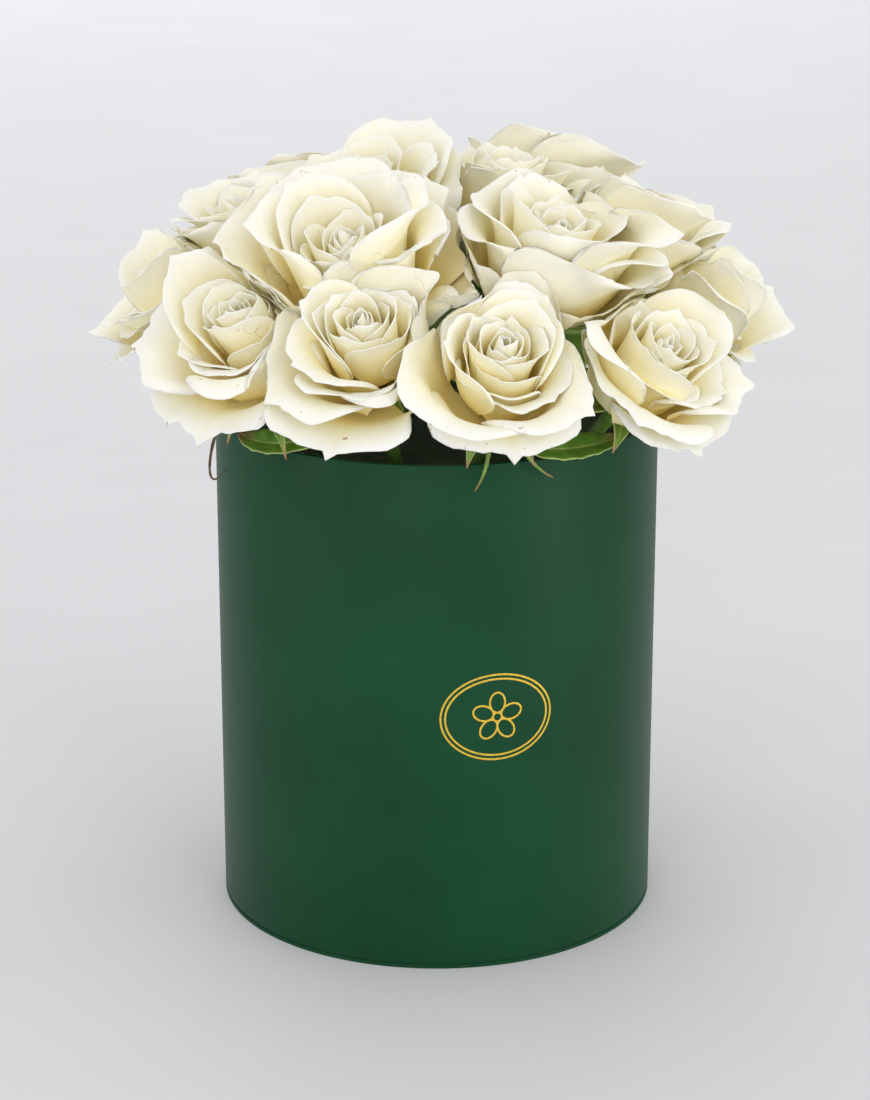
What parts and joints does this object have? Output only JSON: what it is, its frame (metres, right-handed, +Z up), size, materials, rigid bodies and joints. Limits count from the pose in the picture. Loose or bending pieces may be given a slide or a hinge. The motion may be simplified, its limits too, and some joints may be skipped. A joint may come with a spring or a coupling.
{
  "type": "rose box",
  "caption": "Round lidless gift box of dark green paper-covered board, filled with floral foam that holds a tight dome of open creamy white roses",
  "frame": {"origin": "centre of the underside of the box's base", "axes": "+Z up along the box's axis, -Y towards the printed front, +X to the right seen from the front"},
  "size_m": [0.3109, 0.3171, 0.3579],
  "materials": {
    "box_paper": "dark green soft-touch wrapping paper on greyboard, matte",
    "liner_film": "black plastic film, glossy, lightly creased",
    "floral_foam": "soaked open-cell floral foam, dull",
    "petals": "creamy white rose petals, velvety and slightly translucent",
    "greens": "fresh green stems, sepals and leaves, satin"
  },
  "bodies": {
    "root": {"box_base": "box_paper", "box_wall": "box_paper", "liner": "liner_film", "foam": "floral_foam", "rose_01_bloom": "petals", "rose_01_stem": "greens", "rose_02_bloom": "petals", "rose_02_stem": "greens", "rose_03_bloom": "petals", "rose_03_stem": "greens", "rose_04_bloom": "petals", "rose_04_stem": "greens", "rose_05_bloom": "petals", "rose_05_stem": "greens", "rose_06_bloom": "petals", "rose_06_stem": "greens", "rose_07_bloom": "petals", "rose_07_stem": "greens", "rose_08_bloom": "petals", "rose_08_stem": "greens", "rose_09_bloom": "petals", "rose_09_stem": "greens", "rose_10_bloom": "petals", "rose_10_stem": "greens", "rose_11_bloom": "petals", "rose_11_stem": "greens", "rose_12_bloom": "petals", "rose_12_stem": "greens", "rose_13_bloom": "petals", "rose_13_stem": "greens", "rose_14_bloom": "petals", "rose_14_stem": "greens", "rose_15_bloom": "petals", "rose_15_stem": "greens", "rose_16_bloom": "petals", "rose_16_stem": "greens", "rose_17_bloom": "petals", "rose_17_stem": "greens", "rose_18_bloom": "petals", "rose_18_stem": "greens"}
  },
  "joints": []
}
